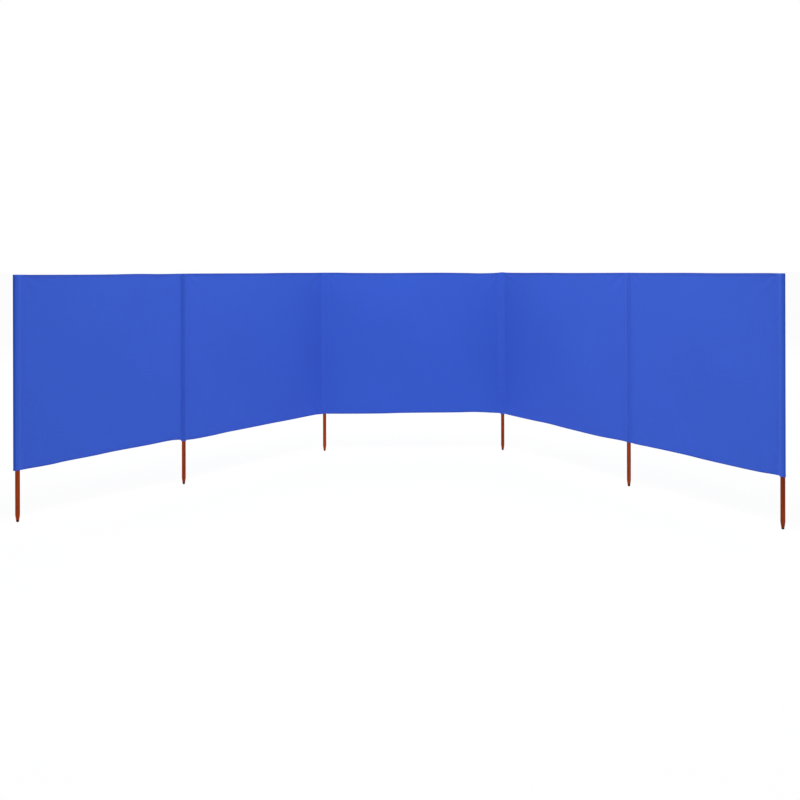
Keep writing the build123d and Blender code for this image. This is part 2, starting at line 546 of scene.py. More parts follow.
class Workpiece:
    """A mesh on the bench: a bmesh with the few operations that the cloth pieces share."""

    def __init__(self) -> None:
        """Starts with no geometry."""
        self.bm = bmesh.new()
        self.girth = self.bm.verts.layers.float.new("girth")
        # painted shade, as a share on each vertex
        self.shade = self.bm.verts.layers.float.new(SHADE)

    def point(self, at: Vector) -> bmesh.types.BMVert:
        """Sets the first vertex of an outline."""
        return bmesh.ops.create_vert(self.bm, co=at)["vert"][0]

    def run(self, end: bmesh.types.BMVert, to: Vector, steps: int) -> bmesh.types.BMVert:
        """Draws the outline on in a straight line.

        Args:
            end: the vertex that the outline has come to.
            to: where the line goes.
            steps: how many edges it has.

        Returns:
            The new end vertex.
        """
        step = (to - end.co) / steps
        for _ in range(steps):
            end = bmesh.ops.extrude_vert_indiv(self.bm, verts=[end])["verts"][0]
            bmesh.ops.translate(self.bm, verts=[end], vec=step)
        return end

    def turn(
        self, end: bmesh.types.BMVert, about: Vector, angle: float, steps: int, axis: Vector = UP
    ) -> bmesh.types.BMVert:
        """Draws the outline on in an arc.

        Args:
            end: the vertex that the outline has come to.
            about: the arc's centre.
            angle: how far it turns, in degrees, counter-clockwise about the axis.
            steps: how many edges it has.
            axis: the arc's axis.

        Returns:
            The new end vertex.
        """
        made = bmesh.ops.spin(
            self.bm, geom=[end], cent=about, axis=axis, angle=radians(angle), steps=steps
        )
        return made["geom_last"][0]

    def measure_girth(self) -> None:
        """Notes on each vertex of the outline how far along the cloth it lies."""
        self.bm.verts.ensure_lookup_table()
        walked = 0.0
        before = self.bm.verts[0]
        for vertex in self.bm.verts:
            walked += (vertex.co - before.co).length
            vertex[self.girth] = walked
            before = vertex

    def draw_out(self, steps: list[Vector]) -> None:
        """Draws the whole outline out into cloth, row by row.

        Args:
            steps: how far each row lies from the one before it.
        """
        edges = list(self.bm.edges)
        for step in steps:
            made = bmesh.ops.extrude_edge_only(self.bm, edges=edges)["geom"]
            fresh = dict.fromkeys(item for item in made if isinstance(item, bmesh.types.BMVert))
            bmesh.ops.translate(self.bm, verts=list(fresh), vec=step)
            linked = dict.fromkeys(edge for vertex in fresh for edge in vertex.link_edges)
            edges = [edge for edge in linked if all(vertex in fresh for vertex in edge.verts)]

    def mirror(self, axis: str) -> None:
        """Adds the mirror image across the plane through the origin and welds the two."""
        whole = [*self.bm.verts, *self.bm.edges, *self.bm.faces]
        bmesh.ops.mirror(self.bm, geom=whole, matrix=Matrix.Identity(4), merge_dist=SAME_PLACE, axis=axis)

    def map_cloth(self, along: str) -> None:
        """Lays the cloth's own map, in metres: its girth, and the distance along an axis.

        Args:
            along: the axis that the outline was drawn out along, x or z.
        """
        cloth_map = self.bm.loops.layers.uv.new(CLOTH_MAP)
        for face in self.bm.faces:
            for loop in face.loops:
                loop[cloth_map].uv = (loop.vert[self.girth], getattr(loop.vert.co, along))

    def finish(
        self,
        name: str,
        place: Matrix,
        material: bpy.types.Material,
        thickness: float = 0.0,
        crease: float = 35.0,
        inwards: bool = True,
    ) -> bpy.types.Object:
        """Takes the mesh off the bench as a finished object.

        Args:
            name: the piece's name.
            place: where the piece goes, in the row frame.
            material: its finish.
            thickness: the cloth's thickness, or 0 for a solid.
            crease: the angle between faces from which an edge is sharp.
            inwards: whether the thickness is laid inwards from the faces, or else to both sides.

        Returns:
            The object, at the origin, with its place in its mesh.
        """
        bmesh.ops.recalc_face_normals(self.bm, faces=self.bm.faces)
        bmesh.ops.transform(self.bm, matrix=place, verts=self.bm.verts)
        mesh = bpy.data.meshes.new(name)
        self.bm.to_mesh(mesh)
        self.bm.free()
        mesh.shade_smooth()
        mesh.set_sharp_from_angle(angle=radians(crease))
        mesh.materials.append(material)
        piece = bpy.data.objects.new(name, mesh)
        bpy.context.scene.collection.objects.link(piece)
        if thickness:
            layer = piece.modifiers.new("cloth_thickness", "SOLIDIFY")
            layer.thickness = thickness
            layer.offset = -1 if inwards else 0
        return piece


@dataclass(frozen=True)
class Stitching:
    """Rows of lockstitch: short rounded lengths of thread whose middles lie just off the cloth's face."""

    pitch: float = 5 * MM
    length: float = 4.1 * MM
    thread: float = 0.8 * MM
    lift: float = 0.1 * MM
    crease: float = 80.0
    sides: int = 5
    rings: int = 4

    def stitch(self, work: Workpiece, at: Vector, along: Vector) -> list[bmesh.types.BMVert]:
        """Sews one stitch.

        Args:
            work: the piece that the stitch is added to.
            at: its middle.
            along: the direction that it lies in.

        Returns:
            The stitch's vertices.
        """
        turn = ALONG.rotation_difference(along).to_matrix().to_4x4()
        size = Matrix.Diagonal((self.length / 2, self.thread / 2, self.thread / 2, 1))
        made = bmesh.ops.create_uvsphere(
            work.bm, u_segments=self.sides, v_segments=self.rings, radius=1,
            matrix=Matrix.Translation(at) @ turn @ size @ Matrix.Rotation(pi / 2, 4, "Y"),
        )
        return made["verts"]

    def follow(self, work: Workpiece, path: list[Vector]) -> None:
        """Sews a row along a path.

        Args:
            work: the piece that the stitches are added to.
            path: the points that the row passes through.
        """
        left = self.pitch / 2
        for start, end in zip(path, path[1:]):
            span = (end - start).length
            while left < span:
                self.stitch(work, start.lerp(end, left / span), (end - start).normalized())
                left += self.pitch
            left -= span

    def sew(self, work: Workpiece, start: Vector, along: Vector, span: float) -> None:
        """Sews one straight row, by doubling what has been sewn until the row is full.

        Args:
            work: the piece that the stitches are added to.
            start: where the row begins.
            along: its direction.
            span: its length.
        """
        count = int(span / self.pitch)
        copies = [self.stitch(work, start + along * (span - (count - 1) * self.pitch) / 2, along)]
        while len(copies) < count:
            batch = copies[: count - len(copies)]
            joined = [vertex for copy in batch for vertex in copy]
            faces = dict.fromkeys(face for vertex in joined for face in vertex.link_faces)
            shift = along * (self.pitch * len(copies))
            twins = bmesh.ops.duplicate(work.bm, geom=[*joined, *faces])["vert_map"]
            for copy in batch:
                copies.append([twins[vertex] for vertex in copy])
            bmesh.ops.translate(work.bm, verts=[twins[vertex] for vertex in joined], vec=shift)


@dataclass
class Bay:
    """One stretch of cloth between two poles: its panel, its two folded hems and their stitching.

    Waves are given in waves a metre, along the bay and upwards, and a drift is how fast the puckers of
    an edge change away from it. The seams hold the cloth flat: the billow grows over hold_reach from
    them, and the folds over seam_ease from seam_hold on.
    """

    plan: Plan
    number: int
    body: str
    top: EdgeLine
    bottom: EdgeLine
    columns: int = 150
    rows: int = 110
    cloth_thickness: float = 0.5 * MM
    hem_thickness: float = 0.4 * MM
    hem_width: float = 12 * MM
    hem_half: float = 1.1 * MM
    hem_tuck: float = 6 * MM
    hem_seam: float = 3 * MM
    # painted shade at the hem's folded edge: its depth there, and the reach over which it fades
    hem_shade: float = 0.95
    hem_shade_reach: float = 9 * MM
    belly: float = 7 * MM
    billow: float = 2.5 * MM
    billow_waves: Span = (2.2, 1.1)
    ripple_share: float = 0.35
    ripple_waves: Span = (5.5, 1.6)
    ripple_slant: float = 1.5
    hold_reach: float = 0.25
    seam_hold: float = 6 * MM
    seam_ease: float = 0.02
    pucker: float = 0.45 * MM
    pucker_waves: float = 34.0
    hem_pucker_drift: float = 2.0
    seam_pucker_drift: float = 3.0
    hem_pucker_reach: float = 0.03
    seam_pucker_reach: float = 0.035
    corner_fold: float = 1.6 * MM
    corner_ease: float = 0.05
    corner_reach: float = 0.16
    corner_folds: float = 9.0
    corner_salt: float = 1.7
    seed: float = field(init=False)

    def __post_init__(self) -> None:
        """Gives the bay its own stretch of the noise."""
        self.seed = 7.3 * self.number

    @property
    def width(self) -> float:
        """The distance between the bay's poles."""
        return self.plan.width(self.number)

    @property
    def place(self) -> Matrix:
        """The matrix that stands the bay's pieces in the row."""
        return self.plan.place(self.number, self.plan.heading(self.number))

    def rise(self, edge: Edge, x: float) -> float:
        """How far an edge lies above its straight line at that distance from the first pole."""
        line = self.top if edge is Edge.TOP else self.bottom
        return line.rise(x / self.width)

    def edge_height(self, edge: Edge, x: float) -> float:
        """The height of an edge at that distance from the first pole."""
        straight = self.plan.cloth_top if edge is Edge.TOP else self.plan.cloth_foot
        return straight + self.rise(edge, x)

    def billowing(self, x: float, z: float, from_side: float) -> float:
        """The cloth's belly between its poles, and the wide waves and slanting ripples on it.

        Args:
            x: the distance from the first pole.
            z: the height.
            from_side: the distance from the nearer seam.

        Returns:
            How far the cloth lies from the plane of its poles.
        """
        share = min(max(x / self.width, 0.0), 1.0)
        wide, high = self.billow_waves
        billow = noise.noise(Vector((x * wide, z * high, self.seed)))
        wide, high = self.ripple_waves
        ripple = noise.noise(Vector((x * wide + z * self.ripple_slant, z * high, self.seed + 3)))
        depth = self.billow * eased(from_side / self.hold_reach)
        return self.belly * sin(pi * share) ** 2 + depth * (billow + self.ripple_share * ripple)

    def corner_pull(self, along: float, off: float, salt: float) -> float:
        """The folds that fan out from a corner where a sleeve's end pulls the cloth.

        Args:
            along: the distance from the sleeve's seam.
            off: the distance from the hemmed edge.
            salt: a number of the corner's own.

        Returns:
            The folds' height there.
        """
        reach = hypot(along, off)
        spokes = sin(self.corner_folds * atan2(off, along + SAME_PLACE) + salt)
        spread = eased(reach / self.corner_ease)
        return self.corner_fold * spokes * spread * fading(reach, self.corner_reach)

    def relief(self, x: float, z: float) -> float:
        """How far the stretched cloth lies from the plane of its poles, towards the windward side.

        Args:
            x: the distance from the first pole.
            z: the height.

        Returns:
            The distance from the plane.
        """
        low, high = self.edge_height(Edge.BOTTOM, x), self.edge_height(Edge.TOP, x)
        from_side = min(x, self.width - x) - self.plan.panel_reach
        from_edge = min(z - low, high - z)
        corner = (1.0 if x > self.width / 2 else 0.0) + (2.0 if z > (low + high) / 2 else 0.0)
        salt = self.seed + self.corner_salt * corner
        along_hem = noise.noise(Vector((x * self.pucker_waves, self.seed, z * self.hem_pucker_drift)))
        along_seam = noise.noise(Vector((self.seed, z * self.pucker_waves, x * self.seam_pucker_drift)))
        pulled = self.corner_pull(max(from_side, 0.0), max(from_edge, 0.0), salt)
        pulled += self.pucker * along_hem * fading(from_edge, self.hem_pucker_reach)
        pulled += self.pucker * along_seam * fading(from_side, self.seam_pucker_reach)
        loose = eased((from_side - self.seam_hold) / self.seam_ease)
        return self.billowing(x, z, from_side) + pulled * loose

    def panel(self, cloth: bpy.types.Material) -> bpy.types.Object:
        """The cloth from seam to seam, with its edges inside the hems and the sleeves' flanges.

        Args:
            cloth: its finish.

        Returns:
            The panel.
        """
        work = Workpiece()
        bmesh.ops.create_grid(work.bm, x_segments=self.columns, y_segments=self.rows, size=0.5)
        start = self.plan.panel_reach
        for vertex in work.bm.verts:
            x = start + (vertex.co.x + 0.5) * (self.width - 2 * start)
            low = self.edge_height(Edge.BOTTOM, x) + self.hem_half
            high = self.edge_height(Edge.TOP, x) - self.hem_half
            z = low + (vertex.co.y + 0.5) * (high - low)
            vertex.co = (x, self.relief(x, z), z)
            vertex[work.girth] = x
        work.map_cloth("z")
        name = f"cloth_bay_{self.number}"
        return work.finish(name, self.place, cloth, self.cloth_thickness, inwards=False)

    def along_edge(self, work: Workpiece, edge: Edge) -> None:
        """Moves what was made along a straight edge to where the bay's own edge runs.

        Args:
            work: the piece, with Z counted from the edge into the cloth.
            edge: which of the two edges it is.
        """
        for vertex in work.bm.verts:
            x, y, rise = vertex.co
            z = self.edge_height(edge, x) + edge.value * rise
            vertex.co = (x, y + self.relief(x, z), z)

    def hem(self, edge: Edge, cloth: bpy.types.Material) -> bpy.types.Object:
        """An edge of the cloth folded over itself, with both lips turned under.

        Args:
            edge: which of the two edges it is.
            cloth: its finish.

        Returns:
            The hem.
        """
        work = Workpiece()
        start = self.plan.flange_reach - self.hem_tuck
        half = self.hem_half
        lip = 0.4 * half
        shoulder = self.hem_width - 0.7 * half
        end = work.point(Vector((start, -lip, self.hem_width)))
        end = work.run(end, Vector((start, -half, shoulder)), steps=1)
        end = work.run(end, Vector((start, -half, half)), steps=4)
        end = work.turn(end, Vector((start, 0, half)), 180, steps=6, axis=ALONG)
        end = work.run(end, Vector((start, half, shoulder)), steps=4)
        work.run(end, Vector((start, lip, self.hem_width)), steps=1)
        work.measure_girth()
        work.draw_out([ALONG * ((self.width - 2 * start) / self.columns)] * self.columns)
        work.map_cloth("x")
        # painted shade, deepest at the hem's folded edge and fading out above it
        for vertex in work.bm.verts:
            vertex[work.shade] = self.hem_shade * (1 - eased(vertex.co.z / self.hem_shade_reach))
        self.along_edge(work, edge)
        name = f"{edge.name.lower()}_hem_bay_{self.number}"
        return work.finish(name, self.place, cloth, self.hem_thickness)

    def stitches(self, thread: bpy.types.Material, sewing: Stitching) -> bpy.types.Object:
        """The rows that hold both hems, on both faces of the cloth.

        Args:
            thread: their finish.
            sewing: how they are sewn.

        Returns:
            The stitches of the bay as one piece.
        """
        edge_rows = bpy.data.meshes.new("edge_rows")
        start = self.plan.flange_reach
        joined = Workpiece()
        for edge in Edge:
            work = Workpiece()
            for side in (-1, 1):
                at = Vector((start, side * (self.hem_half + sewing.lift), self.hem_width - self.hem_seam))
                sewing.sew(work, at, ALONG, self.width - 2 * start)
            self.along_edge(work, edge)
            work.bm.to_mesh(edge_rows)
            joined.bm.from_mesh(edge_rows)
            work.bm.free()
        bpy.data.meshes.remove(edge_rows)
        return joined.finish(f"hem_stitches_bay_{self.number}", self.place, thread, crease=sewing.crease)

    def build(self, cloth: bpy.types.Material, thread: bpy.types.Material, sewing: Stitching) -> None:
        """Makes the bay's pieces and stands them in for its nodes.

        Args:
            cloth: the finish of its panel and hems.
            thread: the finish of its stitches.
            sewing: how its stitches are sewn.
        """
        panel = self.panel(cloth)
        top_hem = self.hem(Edge.TOP, cloth)
        bottom_hem = self.hem(Edge.BOTTOM, cloth)
        stitches = self.stitches(thread, sewing)
        for piece in (panel, top_hem, bottom_hem, stitches):
            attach(piece, self.body)
        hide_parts(f"bay_{self.number}_panel")
        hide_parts(f"bay_{self.number}_top_hem")
        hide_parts(f"bay_{self.number}_bottom_hem")
        self.width - 2 * self.plan.panel_reach
        hem_cut = (2 * self.hem_width, self.width - 2 * self.plan.flange_reach)
        log.info("bay %d rides on %s", self.number, self.body)


@dataclass(frozen=True)
class Shadow:
    """Painted shade on a sleeve from start to end along its X: over pole and seams, and on end sleeves'
    outer folds.
    """

    depth: float
    start: float
    end: float
    soft: float = 4 * MM

    def at(self, x: float) -> float:
        """The share of the painted shade colour at that distance from the pole.

        Args:
            x: the distance, along the sleeve's X.

        Returns:
            The share from 0 to 1.
        """
        rising = eased((x - self.start) / self.soft + 1)
        falling = eased((self.end - x) / self.soft + 1)
        return self.depth * rising * falling


@dataclass
class Sleeve:
    """The cloth sewn round a pole: a flange to each bay beside it, open at the foot and closed on top.

    A half of it is drawn as a level outline and drawn out upwards, and the other half is its mirror
    image. The droop is how far an end sleeve sags outside its pole's top, from droop_start on, which
    is a share of the sleeve's radius.
    """

    plan: Plan
    pole: int
    bays: tuple[Bay, ...]
    nodes: tuple[str, ...]
    shadow: Shadow
    thickness: float = 0.5 * MM
    seam_reach: float = 20.5 * MM
    flange_half: float = 0.8 * MM
    hem_room: float = 0.8 * MM
    hem_zone: float = 13 * MM
    hem_ease: float = 5 * MM
    cuff: float = 12 * MM
    cuff_depth: float = 0.45 * MM
    cuff_step: float = 0.6 * MM
    cuff_seam: float = 3 * MM
    foot_drop: float = 0.0
    droop: float = 0.0
    droop_start: float = 0.83
    droop_ease: float = 5.5 * MM
    pucker: float = 0.35 * MM
    pucker_waves: float = 45.0
    pucker_reach: float = 6 * MM
    seam_crease: float = 28.0
    seam_inset: float = 1.5 * MM
    flange_inset: float = 2.5 * MM
    row_step: float = 16 * MM
    foot_step: float = 3 * MM
    top_step: float = 4 * MM
    side_steps: int = 12
    flange_steps: int = 5

    @property
    def radius(self) -> float:
        """The radius of the cloth round the pole."""
        return self.plan.sleeve_radius

    @property
    def seed(self) -> float:
        """The sleeve's own stretch of the noise."""
        return 5.1 * self.pole

    @property
    def seam_distance(self) -> float:
        """The straight distance from the pole's axis to the seam on either face."""
        return hypot(self.seam_reach, self.flange_half)

    @property
    def touch(self) -> float:
        """How far round from the bay's direction the cloth leaves the pole, in degrees."""
        return degrees(acos(self.radius / self.seam_distance) + atan2(self.flange_half, self.seam_reach))

    @property
    def foot(self) -> float:
        """The height of the sleeve's open end."""
        return self.plan.cloth_foot

    @property
    def height(self) -> float:
        """The sleeve's length from its open end to its closed one."""
        return self.plan.cloth_height

    @property
    def bodies(self) -> list[str]:
        """The bodies of the bays that the sleeve is sewn to, from left to right."""
        return [bay.body for bay in self.bays]

    def outline(self, work: Workpiece) -> str:
        """Draws half of the level outline and names the axis across which it is mirrored."""
        raise NotImplementedError

    def place(self) -> Matrix:
        """Where the sleeve stands in the row."""
        raise NotImplementedError

    def bay_beside(self, x: float) -> Bay:
        """The bay whose edges the sleeve carries on, on that side of the pole."""
        raise NotImplementedError

    def close_top(self, work: Workpiece) -> None:
        """Closes the drawn half over the pole's top."""
        raise NotImplementedError

    def cut_width(self) -> float:
        """The width of the strip that the sleeve is sewn from, round the pole and out to the flanges."""
        raise NotImplementedError

    def fold(self, work: Workpiece) -> None:
        """Turns the half that was drawn along its bay to where it belongs before it is mirrored."""

    def rows(self) -> list[float]:
        """Spaces the rows of the cloth, closer together at the cuff and at the hems.

        Returns:
            The height from each row to the next.
        """
        low = [self.cuff / 3] * 3 + [self.cuff_step, self.foot_step, self.foot_step]
        high = [self.top_step] * 4
        middle = self.height - sum(low) - sum(high)
        count = ceil(middle / self.row_step)
        return low + [middle / count] * count + high

    def looseness(self, x: float, y: float) -> float:
        """0 where the cloth lies on the pole, up to 1 from its seam outwards."""
        return eased((hypot(x, y) - self.radius) / (self.seam_reach - self.radius))

    def carry_edges(self, work: Workpiece) -> None:
        """Runs both ends of the sleeve on from the edges of its bays.

        Args:
            work: the whole sleeve, which also drops by foot_drop round the pole's foot.
        """
        for vertex in work.bm.verts:
            x, y, z = vertex.co
            bay = self.bay_beside(x)
            loose = self.looseness(x, y)
            reach = loose * hypot(x, y)
            along = reach if bay.number == self.pole else bay.width - reach
            outside = -x - self.droop_start * self.radius
            low = bay.rise(Edge.BOTTOM, along) - self.foot_drop * (1 - loose)
            high = bay.rise(Edge.TOP, along) - self.droop * eased(outside / self.droop_ease)
            share = (z - self.foot) / self.height
            vertex.co.z = z + low * (1 - share) ** 2 + high * share**2

    def shape(self, work: Workpiece) -> None:
        """Makes room for the hems inside the flanges, puckers the seams and thickens the turned-up cuff.

        Args:
            work: the drawn half of the sleeve.
        """
        for vertex in work.bm.verts:
            x, y, z = vertex.co
            side = 0 if abs(y) < SAME_PLACE else 1 if y > 0 else -1
            loose = self.looseness(x, y)
            end_gap = min(z - self.foot, self.plan.cloth_top - z)
            room = self.hem_room * loose * (1 - eased((end_gap - self.hem_zone) / self.hem_ease))
            wave = noise.noise(Vector((z * self.pucker_waves, self.seed, side * 2.0)))
            near_seam = loose * fading(abs(x - self.seam_reach), self.pucker_reach)
            cuff = self.cuff_depth * (1 - eased((z - self.foot - self.cuff) / self.cuff_step))
            sideways = Vector((0, side, 0))
            outward = Vector((x, y, 0)).normalized().lerp(sideways, loose)
            vertex.co += sideways * (room + self.pucker * wave * near_seam) + outward * cuff

    def cloth(self, material: bpy.types.Material) -> bpy.types.Object:
        """Cuts, shapes and closes the sleeve itself.

        Args:
            material: its finish.

        Returns:
            The sleeve.
        """
        work = Workpiece()
        axis = self.outline(work)
        work.measure_girth()
        bmesh.ops.translate(work.bm, verts=work.bm.verts, vec=UP * self.foot)
        work.draw_out([UP * step for step in self.rows()])
        self.shape(work)
        self.close_top(work)
        self.fold(work)
        work.mirror(axis)
        bmesh.ops.dissolve_degenerate(work.bm, edges=work.bm.edges, dist=SAME_PLACE)
        work.map_cloth("z")
        self.map_top(work)
        # painted shade along the sleeve's X
        for vertex in work.bm.verts:
            vertex[work.shade] = self.shadow.at(vertex.co.x)
        self.carry_edges(work)
        name = f"sleeve_pole_{self.pole}"
        return work.finish(name, self.place(), material, self.thickness, self.seam_crease)

    def at_top(self, part: bmesh.types.BMEdge | bmesh.types.BMFace) -> bool:
        """Whether all of an edge or a face lies in the sleeve's closed top."""
        return all(vertex.co.z > self.plan.cloth_top - SAME_LEVEL for vertex in part.verts)

    def map_top(self, work: Workpiece) -> None:
        """Lays the cloth's own map flat over the closed top.

        Args:
            work: the whole sleeve.
        """
        cloth_map = work.bm.loops.layers.uv[CLOTH_MAP]
        for face in filter(self.at_top, work.bm.faces):
            for loop in face.loops:
                loop[cloth_map].uv = loop.vert.co.xy

    def stitches(self, thread: bpy.types.Material, sewing: Stitching) -> bpy.types.Object:
        """Two upright rows on each face of each flange, and a row round the cuff at the open end.

        Args:
            thread: their finish.
            sewing: how they are sewn.

        Returns:
            The stitches of the sleeve as one piece.
        """
        work = Workpiece()
        section = Workpiece()
        axis = self.outline(section)
        level = UP * (self.foot + self.cuff - self.cuff_seam)
        points = [vertex.co + level for vertex in section.bm.verts]
        section.bm.free()
        tip = max(range(len(points)), key=lambda index: points[index].x)
        faces = [points[:tip], points[tip + 1 :]]
        for side, face in zip((-1, 1), faces):
            if len(face) < 2:
                continue
            sewing.follow(work, face)
            for reach in (self.seam_reach + self.seam_inset, self.plan.flange_reach - self.flange_inset):
                at = Vector((reach, side * (self.flange_half + sewing.lift), self.foot))
                sewing.sew(work, at, UP, self.height)
        self.shape(work)
        self.fold(work)
        work.mirror(axis)
        self.carry_edges(work)
        name = f"sleeve_stitches_pole_{self.pole}"
        return work.finish(name, self.place(), thread, crease=sewing.crease)

    def attach(self, piece: bpy.types.Object) -> None:
        """Has a piece follow the sleeve's body or bodies."""
        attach(piece, self.bodies[0])

    def build(self, cloth: bpy.types.Material, thread: bpy.types.Material, sewing: Stitching) -> None:
        """Makes the sleeve's pieces and stands them in for its nodes.

        Args:
            cloth: the finish of the sleeve.
            thread: the finish of its stitches.
            sewing: how its stitches are sewn.
        """
        piece = self.cloth(cloth)
        stitches = self.stitches(thread, sewing)
        for item in (piece, stitches):
            self.attach(item)
        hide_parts(*self.nodes)
        self.cut_width()
        log.info("sleeve of pole %d rides on %s", self.pole, " and ".join(self.bodies))

    def side_length(self) -> float:
        """The cloth's length on one face from where it leaves the pole to the flange's edge."""
        to_seam = (self.seam_distance**2 - self.radius**2) ** 0.5
        return to_seam + self.plan.flange_reach - self.seam_reach


@dataclass
class EndSleeve(Sleeve):
    """The sleeve of an end pole, drawn round it from its one bay and back, with some slack outside."""

    slack: float = 2 * MM
    fold_radius: float = 1.4 * MM
    fold_steps: int = 4
    round_steps: int = 16

    @property
    def bay(self) -> Bay:
        """The sleeve's one bay."""
        return self.bays[0]

    @property
    def fold_centre(self) -> Vector:
        """The middle of the slack cloth's outermost fold."""
        return Vector((self.fold_radius - self.radius - self.slack, 0, 0))

    @property
    def lean(self) -> float:
        """How far round from its outermost point the cloth comes to lie on the pole, in degrees."""
        return degrees(acos((self.radius - self.fold_radius) / self.fold_centre.length))

    def bay_beside(self, x: float) -> Bay:
        """The sleeve's one bay."""
        return self.bay

    def looseness(self, x: float, y: float) -> float:
        """0 round the pole and outside it, up to 1 from the seam inwards."""
        return super().looseness(x, y) if x > 0 else 0.0

    def place(self) -> Matrix:
        """At the pole, with +X towards its bay."""
        away = 0 if self.bay.number == self.pole else 180
        return self.plan.place(self.pole, self.plan.heading(self.bay.number) + away)

    def outline(self, work: Workpiece) -> str:
        """Draws the face on one side, from the outermost fold to the flange's edge.

        Args:
            work: the piece that the outline starts.

        Returns:
            The axis across which it is mirrored.
        """
        tip = ALONG * (self.plan.flange_reach - self.flange_half)
        depth = Vector((0, -self.flange_half, 0))
        end = work.point(self.fold_centre + polar(self.fold_radius, 180))
        end = work.turn(end, self.fold_centre, self.lean, self.fold_steps)
        end = work.run(end, polar(self.radius, 180 + self.lean), self.fold_steps)
        end = work.turn(end, Vector(), 180 - self.lean - self.touch, self.round_steps)
        end = work.run(end, ALONG * self.seam_reach + depth, self.side_steps)
        end = work.run(end, tip + depth, self.flange_steps)
        work.turn(end, tip, 90, steps=2)
        return "Y"

    def close_top(self, work: Workpiece) -> None:
        """Draws the top edge in to the middle, crosswise to the bay.

        Args:
            work: the drawn half of the sleeve.
        """
        rim = filter(self.at_top, work.bm.edges)
        edges = [edge for edge in rim if max(abs(v.co.y) for v in edge.verts) > SAME_PLACE]
        for item in bmesh.ops.extrude_edge_only(work.bm, edges=edges)["geom"]:
            if isinstance(item, bmesh.types.BMVert):
                item.co.y = 0

    def cut_width(self) -> float:
        """Once round the pole and its slack, and out to the flange on both faces.

        Returns:
            The width of the strip.
        """
        slack = (self.fold_centre.length**2 - (self.radius - self.fold_radius) ** 2) ** 0.5
        arcs = radians(self.lean) * self.fold_radius + radians(180 - self.lean - self.touch) * self.radius
        return 2 * (self.side_length() + arcs + slack)


@dataclass
class InnerSleeve(Sleeve):
    """The sleeve of an inner pole, where two bays meet at an angle and turn about the pole.

    Its bend_reach from the pole, measured along the row, lies just past its seams; nothing bends the
    sleeve about it.
    """

    bend_reach: float = 21.5 * MM
    front_steps: int = 6
    back_steps: int = 12

    @property
    def turn(self) -> float:
        """How far the row turns at the pole towards the sheltered side, in degrees."""
        return self.plan.heading(self.pole - 1) - self.plan.heading(self.pole)

    @property
    def mean_heading(self) -> float:
        """The heading midway between the two bays."""
        return (self.plan.heading(self.pole - 1) + self.plan.heading(self.pole)) / 2

    def place(self) -> Matrix:
        """At the pole, with +X midway between its bays."""
        return self.plan.place(self.pole, self.mean_heading)

    def outline(self, work: Workpiece) -> str:
        """Draws both faces towards the next bay, from the middle of the sheltered face to the other's.

        Args:
            work: the piece that the outline starts.

        Returns:
            The axis across which it is mirrored.
        """
        tip = ALONG * (self.plan.flange_reach - self.flange_half)
        seam = ALONG * self.seam_reach
        depth = Vector((0, self.flange_half, 0))
        front = 90 - self.turn / 2
        back = 90 + self.turn / 2
        end = work.point(polar(self.radius, -front))
        end = work.turn(end, Vector(), front - self.touch, self.front_steps)
        end = work.run(end, seam - depth, self.side_steps)
        end = work.run(end, tip - depth, self.flange_steps)
        end = work.turn(end, tip, 180, steps=4)
        end = work.run(end, seam + depth, self.flange_steps)
        end = work.run(end, polar(self.radius, self.touch), self.side_steps)
        work.turn(end, Vector(), back - self.touch, self.back_steps)
        return "X"

    def close_top(self, work: Workpiece) -> None:
        """Closes the top from face to face beside the pole, and round its middle above it.

        Args:
            work: the drawn half of the sleeve.
        """
        rim_edges = filter(self.at_top, work.bm.edges)
        rim = sorted({v for edge in rim_edges for v in edge.verts}, key=lambda v: v[work.girth])
        near, far = self.front_steps, len(rim) - 1 - self.back_steps
        middle = work.point(UP * self.plan.cloth_top)
        above_pole = [*range(near), *range(far, len(rim) - 1)]
        patches = [[middle, rim[near], rim[far]], *([middle, rim[at], rim[at + 1]] for at in above_pole)]
        while near < far:
            patches.append(list(dict.fromkeys((rim[near], rim[near + 1], rim[far - 1], rim[far]))))
            near, far = near + 1, far - 1
        for corners in patches:
            bmesh.ops.contextual_create(work.bm, geom=corners)

    def bay_beside(self, x: float) -> Bay:
        """The bay before the pole or the bay after it."""
        return self.bays[1] if x > 0 else self.bays[0]

    def fold(self, work: Workpiece) -> None:
        """Turns the drawn half from midway between the bays to the next bay's own direction."""
        half_turn = Matrix.Rotation(radians(-self.turn / 2), 4, "Z")
        bmesh.ops.transform(work.bm, matrix=half_turn, verts=work.bm.verts)

    def attach(self, piece: bpy.types.Object) -> None:
        """Bakes a piece's place into its mesh, with no body for it to follow.

        Args:
            piece: the sleeve or its stitches.
        """
        across = polar(self.bend_reach, self.mean_heading)
        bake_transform(piece)

    def cut_width(self) -> float:
        """The front and back strips side by side."""
        return 4 * self.side_length() + radians(360 - 4 * self.touch) * self.radius


@dataclass(frozen=True)
class Lamp:
    """A square soft lamp: where it hangs, what it points at, its side, and its power in watts."""

    name: str
    at: Triple
    aim: Triple
    side: float
    power: float

    def hang(self) -> None:
        """Hangs the lamp in the studio."""
        light = bpy.data.lights.new(self.name, "AREA")
        light.size = self.side
        light.energy = self.power
        at = Vector(self.at)
        turn = (Vector(self.aim) - at).to_track_quat("-Z", "Y").to_matrix().to_4x4()
        lamp = bpy.data.objects.new(self.name, light)
        lamp.matrix_world = Matrix.Translation(at) @ turn
        bpy.context.scene.collection.objects.link(lamp)


